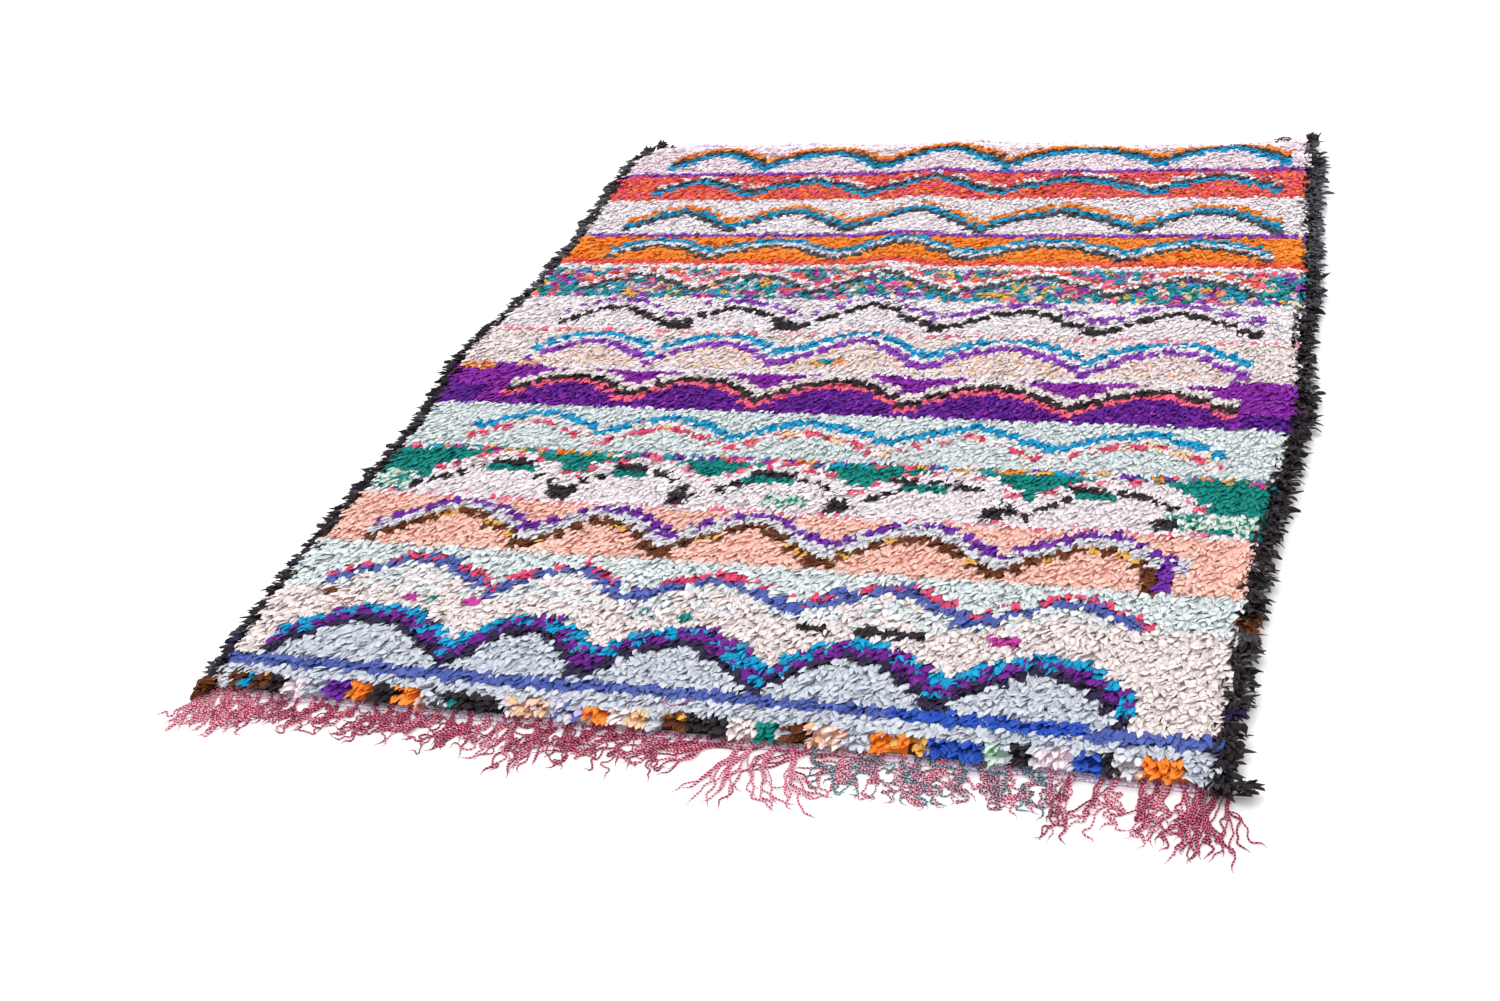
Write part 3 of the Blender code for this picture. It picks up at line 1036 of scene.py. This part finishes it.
# Fringe
# The warp ends, plied from a pale and a dark strand, run out under the heading and are left
# loose. They have sprung back into curls and cling together in tangles that sweep to the left.
YARN_RADIUS = 0.00122
YARN_SIDES = 5
YARN_STEP = 0.0042
PLY_PITCH = 0.0052
FRINGE_ROOT = 0.0042
YARNS = {
    # name: pale strand, dark strand, share of the dark one
    "rose": ("F0BCCB", "B01E4A", 0.58),
    "crimson": ("E46C90", "5C0824", 0.76),
    "dusk": ("DCA4B8", "46203E", 0.55),
    "petrol": ("86A8B4", "1B4A5C", 0.60),
}
TANGLES = [
    # left and right in millimetres, bunches, yarns in each, reach in millimetres, lean at the
    # root and at the tips, curls, loops, yarns
    (26, 60, 4, 6, 78, -72, -78, 1.1, 0.4, "rose"),
    (60, 95, 4, 6, 83, -78, -88, 1.1, 0.4, "rose rose crimson"),
    (95, 130, 3, 6, 70, -82, -92, 1.2, 0.5, "rose crimson"),
    (130, 175, 2, 6, 56, -96, -110, 1.61, 1.17, "crimson rose crimson"),
    (175, 225, 2, 6, 60, -96, -140, 1.49, 1.04, "crimson crimson rose"),
    (225, 275, 2, 6, 62, -92, -150, 1.49, 1.04, "crimson"),
    (275, 325, 2, 6, 68, -94, -158, 1.49, 1.04, "crimson crimson rose"),
    (325, 380, 2, 6, 70, -92, -160, 1.49, 1.04, "crimson"),
    (380, 430, 2, 6, 71, -94, -160, 1.49, 1.04, "crimson crimson rose"),
    (430, 480, 2, 6, 73, -90, -150, 1.49, 1.04, "crimson"),
    (480, 530, 2, 6, 71, -92, -140, 1.49, 1.04, "crimson crimson rose"),
    (530, 575, 2, 7, 102, -72, -104, 0.8, 0.4, "crimson crimson rose"),
    (575, 635, 2, 6, 70, -96, -140, 1.49, 1.17, "crimson"),
    (635, 690, 2, 6, 66, -92, -130, 1.61, 1.17, "crimson rose crimson"),
    (690, 745, 2, 6, 79, -92, -82, 1.26, 0.91, "crimson"),
    (745, 800, 2, 6, 66, -128, -172, 0.8, 0.3, "crimson rose"),
    (800, 850, 2, 6, 75, -135, -178, 0.7, 0.3, "rose crimson"),
    (850, 890, 2, 7, 107, -98, -96, 0.6, 0.2, "rose"),
    (900, 950, 2, 7, 111, -108, -52, 0.6, 0.2, "rose rose crimson"),
    (955, 1010, 2, 5, 75, -92, -70, 1.2, 0.7, "rose petrol"),
    (1010, 1060, 2, 6, 70, -90, -75, 1.65, 1.2, "petrol rose dusk"),
    (1060, 1115, 2, 6, 77, -92, -75, 1.54, 1.2, "petrol dusk rose"),
    (1115, 1170, 2, 6, 73, -90, -78, 1.65, 1.2, "petrol rose dusk"),
    (1170, 1225, 2, 6, 73, -92, -75, 1.54, 1.2, "dusk rose petrol"),
    (1225, 1280, 2, 6, 73, -92, -80, 1.54, 1.2, "rose dusk petrol"),
    (1280, 1335, 2, 5, 105, -88, -98, 0.9, 0.4, "rose crimson"),
    (1335, 1385, 2, 5, 77, -92, -80, 1.3, 0.7, "rose crimson"),
    (1385, 1435, 3, 6, 94, -90, -78, 1.04, 0.3, "crimson crimson rose"),
    (1435, 1484, 4, 6, 111, -84, -78, 0.65, 0.2, "crimson crimson crimson rose"),
    (560, 720, 4, 4, 62, -160, -182, 1.3, 0.9, "crimson"),
    (720, 860, 4, 4, 66, -158, -186, 1.2, 0.8, "crimson crimson rose"),
    (880, 1060, 4, 4, 80, -152, -176, 0.5, 0.2, "rose rose crimson"),
    (1100, 1260, 3, 3, 60, -30, -12, 1.4, 1.0, "dusk petrol"),
]
BUNCH_SPREAD = 0.0014
BUNCH_FAN = (9, 26)
THIRD = 0.5
BUNCH_LEAN = 10
YARN_HUMP = 0.0055
PARTING = 0.045
CURLS_FROM = 0.012
DROP_LENGTH = 0.014
HUMP_WAVE = 0.011
KNOT_RADII = (0.0040, 0.0032)
KNOT_HEIGHT = 0.0052
CURL_LENGTHS = (0.060, 0.032, 0.016)
CURL_SIZES = (0.70, 0.60, 0.30)
LOOP_LENGTHS = (0.020, 0.034)
SPARE_LENGTH = 3.2


def plied_yarn(name, pale, dark, share):
    """Two strands twisted together; the yarn attribute holds the place around, along and the batch."""
    material, shader, start = fresh_material("yarn_" + name)
    yarn = start.attribute("yarn")
    around = yarn.part("X")
    along = yarn.part("Y")
    batch = yarn.part("Z")
    fibres = yarn.stretched((4, 900, 80)).cloudy(1.0, 2.0)
    ply = (around * math.tau + along * (math.tau / PLY_PITCH) + batch * 40).wave()
    strand = (ply + fibres * 0.5 + batch * 0.2 - (0.85 - share / 2)) * 2.4
    strand.mixed(pale, dark).drive(shader, "Base Color")
    (fibres * 0.15 + 0.8).drive(shader, "Roughness")
    (ply * 0.8 + fibres * 0.3).emboss(shader, 0.0008)
    shader.inputs["Specular IOR Level"].default_value = 0.2
    shader.inputs["Sheen Weight"].default_value = 0.15
    return material


yarn_names = list(YARNS)
yarn_materials = [plied_yarn(name, *YARNS[name]) for name in yarn_names]


def yarn_path(root, reach, start, finish, curls, loops, lift, draw, shared):
    """The middle line of one yarn on the floor; shared holds the phases that its bunch shares."""
    count = int(reach * SPARE_LENGTH / YARN_STEP) + 6
    travel = np.arange(count) * YARN_STEP
    share = np.clip(travel / reach, 0, 1)
    heading = np.radians(start + (finish - start) * share)
    own = draw.uniform(0, math.tau, 3)
    for size, wave, phase, other in zip(CURL_SIZES, CURL_LENGTHS, own, shared):
        turns = math.tau * travel / wave
        parted = np.clip(travel / PARTING, 0.15, 1)
        swing = (1 - parted) * np.sin(turns + other) + parted * np.sin(turns * 1.07 + phase)
        heading = heading + curls * size * swing * np.clip(travel / CURLS_FROM, 0, 1)
    for loop in range(draw.poisson(loops)):
        begin = draw.uniform(0.1, 0.9) * reach
        part = np.clip((travel - begin) / draw.uniform(*LOOP_LENGTHS), 0, 1)
        heading = heading + draw.choice((-1, 1)) * math.tau * part
    steps = np.stack([np.cos(heading), np.sin(heading)], -1) * YARN_STEP
    flat = np.array(root[:2]) + np.concatenate([np.zeros((1, 2)), np.cumsum(steps[:-1], 0)])
    past = np.flatnonzero(np.linalg.norm(flat - flat[0], axis=1) > reach)
    count = max(past[0] if len(past) else count, 6)
    travel, flat = travel[:count], flat[:count]
    hump = lift * np.sin(math.pi * travel / travel[-1]) ** 2
    hump = hump * (0.6 + 0.4 * np.sin(travel / HUMP_WAVE + own[0]))
    drop = np.clip(1 - travel / DROP_LENGTH, 0, 1)
    height = YARN_RADIUS + 0.0002 + hump + (root[2] - YARN_RADIUS) * drop
    return np.column_stack([flat, height])


def yarn_knot(x, y, draw):
    """The middle line of the small knot that gathers a bunch against the heading."""
    turn = np.linspace(0, 2.6 * math.pi, 16)
    tilt = draw.uniform(-0.5, 0.5)
    grown = draw.uniform(0.8, 1.25)
    across = KNOT_RADII[0] * np.cos(turn) * grown
    along = KNOT_RADII[1] * np.sin(turn) * grown + tilt * across
    height = KNOT_HEIGHT + 0.0012 * np.cos(turn * 0.5 + tilt)
    return np.column_stack([x + across, y + 0.004 + along, height])


def yarn_mesh(name, paths, radii, batches, kinds, materials):
    """Tubes along these paths in one mesh, thinner at their ends."""
    points, faces, values, flat, which = [], [], [], [], []
    offset = 0
    total = len(paths)
    for number, (path, radius, batch, kind) in enumerate(zip(paths, radii, batches, kinds)):
        count = len(path)
        tangent = np.gradient(path, axis=0)
        tangent /= np.linalg.norm(tangent, axis=1)[:, None]
        side = np.cross(tangent, (0, 0, 1))
        side /= np.linalg.norm(side, axis=1)[:, None] + 1e-9
        upward = np.cross(side, tangent)
        angles = np.linspace(0, math.tau, YARN_SIDES, endpoint=False)
        taper = np.clip((1 - np.linspace(0, 1, count)) * count / 3, 0.35, 1)
        cos, sin = np.cos(angles)[None, :, None], np.sin(angles)[None, :, None]
        ring = cos * side[:, None] + sin * upward[:, None]
        points.append((path[:, None] + ring * (radius * taper)[:, None, None]).reshape(-1, 3))
        reach = np.concatenate([[0], np.cumsum(np.linalg.norm(np.diff(path, axis=0), axis=1))])
        around = np.broadcast_to(angles / math.tau, (count, YARN_SIDES))
        lengthwise = np.broadcast_to(reach[:, None], (count, YARN_SIDES))
        values.append(np.stack([around, lengthwise, np.full_like(around, batch)], -1).reshape(-1, 3))
        rows = np.arange(count - 1)[:, None] * YARN_SIDES
        one = np.arange(YARN_SIDES)[None, :]
        two = (one + 1) % YARN_SIDES
        after = rows + YARN_SIDES
        quads = np.stack([rows + one, rows + two, after + two, after + one], -1)
        faces.append(quads.reshape(-1, 4) + offset)
        start = np.arange(count - 1)[:, None] / (count - 1) * 0.98 + 0.01
        end = start + 0.98 / (count - 1)
        low = (number + 0.1 + 0.8 * one / YARN_SIDES) / total
        high = (number + 0.1 + 0.8 * (one + 1) / YARN_SIDES) / total
        corners = [(start, low), (start, high), (end, high), (end, low)]
        corners = [np.stack(np.broadcast_arrays(u, v), -1) for u, v in corners]
        flat.append(np.stack(corners, 2).reshape(-1, 2))
        which.append(np.full(len(faces[-1]), kind))
        offset += count * YARN_SIDES
    points, faces, values = np.vstack(points), np.vstack(faces), np.vstack(values)
    piece = new_piece(name, points, faces, materials, {"yarn": values}, np.concatenate(which))
    set_islands(piece.data, np.vstack(flat))
    return piece


def fringe_yarns():
    draw = np.random.default_rng(17)
    thirds = {"fringe_left": [], "fringe_middle": [], "fringe_right": []}
    front = near_end + HEADING_INSET - HEADING_DEPTH + 0.002
    for left, right, bunches, yarns, reach, start, finish, curls, loops, names in TANGLES:
        left, right, reach = left / 1000, right / 1000, reach / 1000
        name = list(thirds)[min(int(left / THIRD), 2)]
        for bunch in range(bunches):
            middle = left + (right - left) * (bunch + draw.uniform(0.25, 0.75)) / bunches + CHART_LEFT
            shared = draw.uniform(0, math.tau, 3)
            lean = draw.normal(0, BUNCH_LEAN)
            kind = yarn_names.index(draw.choice(names.split()))
            thirds[name].append((yarn_knot(middle, front, draw), YARN_RADIUS, draw.uniform(), kind))
            for yarn in range(yarns):
                x = middle + draw.normal(0, BUNCH_SPREAD)
                path = yarn_path(
                    (x, front + draw.uniform(-0.002, 0.005), FRINGE_ROOT),
                    reach * draw.uniform(0.7, 1.2),
                    start + lean + draw.normal(0, BUNCH_FAN[0]),
                    finish + lean + draw.normal(0, BUNCH_FAN[1]),
                    curls * draw.uniform(0.6, 1.15),
                    loops,
                    YARN_HUMP * draw.uniform() ** 1.5,
                    draw,
                    shared,
                )
                kind = yarn_names.index(draw.choice(names.split()))
                thirds[name].append((path, YARN_RADIUS * draw.uniform(0.8, 1.2), draw.uniform(), kind))
    pieces = []
    for name, rows in thirds.items():
        piece = yarn_mesh(name, *zip(*rows), yarn_materials)
        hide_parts("fringe")
        pieces.append(piece)
    return pieces


fringe_pieces = fringe_yarns()

# Cord along the far end
# At the far end the warps are cut short and twined into one thin dark cord, which lies against
# the last row of knots and ends in a small bundle at the right.
TWINE_RADIUS = 0.0015
TWINE_PITCH = 0.011
CORD_STATIONS = 560
CORD_INSET = 0.004
TAILS = 14
TAIL_PLACE = 0.035
TAIL_RADIUS = 0.0011


def far_cord():
    low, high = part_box("end_cord")
    share = np.linspace(0, 1, CORD_STATIONS)
    x = low.x + CORD_INSET + (high.x - low.x - 2 * CORD_INSET) * share
    slack = np.array([noise.noise((value * 14, 0, 2)) for value in x])
    y = np.array([far_y(value) for value in x]) + 0.004 + 0.0016 * slack
    paths = []
    for strand in range(2):
        angle = math.tau * x / TWINE_PITCH + math.pi * strand
        height = TWINE_RADIUS * 2.1 + 0.0006 + TWINE_RADIUS * np.sin(angle) + 0.001 * slack
        paths.append(np.column_stack([x, y + TWINE_RADIUS * np.cos(angle), height]))
    draw = np.random.default_rng(23)
    middle = high.x - TAIL_PLACE
    for tail in range(TAILS):
        root = (middle + draw.uniform(-0.012, 0.012), float(far_y(middle)) + 0.004, 0.006)
        shared = draw.uniform(0, math.tau, 3)
        start, finish = draw.uniform(20, 160), draw.uniform(-20, 200)
        reach = draw.uniform(0.01, 0.024)
        paths.append(yarn_path(root, reach, start, finish, 1.3, 0, 0.010, draw, shared))
    radii = [TWINE_RADIUS] * 2 + [TAIL_RADIUS] * TAILS
    material = plied_yarn("dark_twine", "6A3A3C", "1C161C", 0.75)
    batches = draw.uniform(0, 1, len(paths))
    piece = yarn_mesh("far_end_cord", paths, radii, batches, [0] * len(paths), [material])
    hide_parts("end_cord")
    return piece


cord = far_cord()

# Stray threads
# A few ends of yarn have worked loose and lie on top of the pile: dark ones near the first rows
# and by the right edge, and pink and pale ones here and there.
THREADS = [
    # across, up the rug and reach in millimetres, heading at its start and end, curls, loops, yarn
    (1250, 15, 60, 120, 200, 0.9, 0.8, "petrol"),
    (1170, 45, 50, -30, -100, 0.9, 0.6, "petrol"),
    (1405, 1060, 60, 75, -60, 0.3, 0.0, "petrol"),
    (140, 165, 45, 40, -40, 1.3, 1.0, "rose"),
    (190, 170, 30, 160, 90, 1.3, 1.0, "crimson"),
    (585, 110, 22, 80, 150, 0.5, 1.0, "crimson"),
    (790, 30, 50, 200, 150, 1.2, 0.5, "crimson"),
    (300, 440, 25, 60, 120, 0.6, 0.6, "rose"),
    (460, 690, 22, 100, 20, 0.5, 1.0, "rose"),
    (1020, 560, 30, 20, 80, 0.9, 0.5, "dusk"),
    (620, 1300, 25, 100, 160, 0.8, 0.5, "rose"),
    (1180, 1310, 40, 60, 10, 0.9, 0.4, "rose"),
]
THREAD_RADIUS = 0.0008
THREAD_HEIGHT = 0.0300


def stray_threads():
    draw = np.random.default_rng(41)
    paths = []
    for across, height, reach, start, finish, curls, loops, name in THREADS:
        root = (across / 1000 + CHART_LEFT, height / 1000 + CHART_FOOT, THREAD_HEIGHT)
        shared = draw.uniform(0, math.tau, 3)
        path = yarn_path(root, reach / 1000, start, finish, curls, loops, 0.002, draw, shared)
        path[:, 2] = np.clip(path[:, 2] - path[:, 2].min() + THREAD_HEIGHT, 0, PILE_LIMIT - 0.001)
        paths.append(path)
    kinds = [yarn_names.index(row[-1]) for row in THREADS]
    radii = [THREAD_RADIUS] * len(paths)
    batches = draw.uniform(0, 1, len(paths))
    piece = yarn_mesh("stray_threads", paths, radii, batches, kinds, yarn_materials)
    return piece


threads = stray_threads()
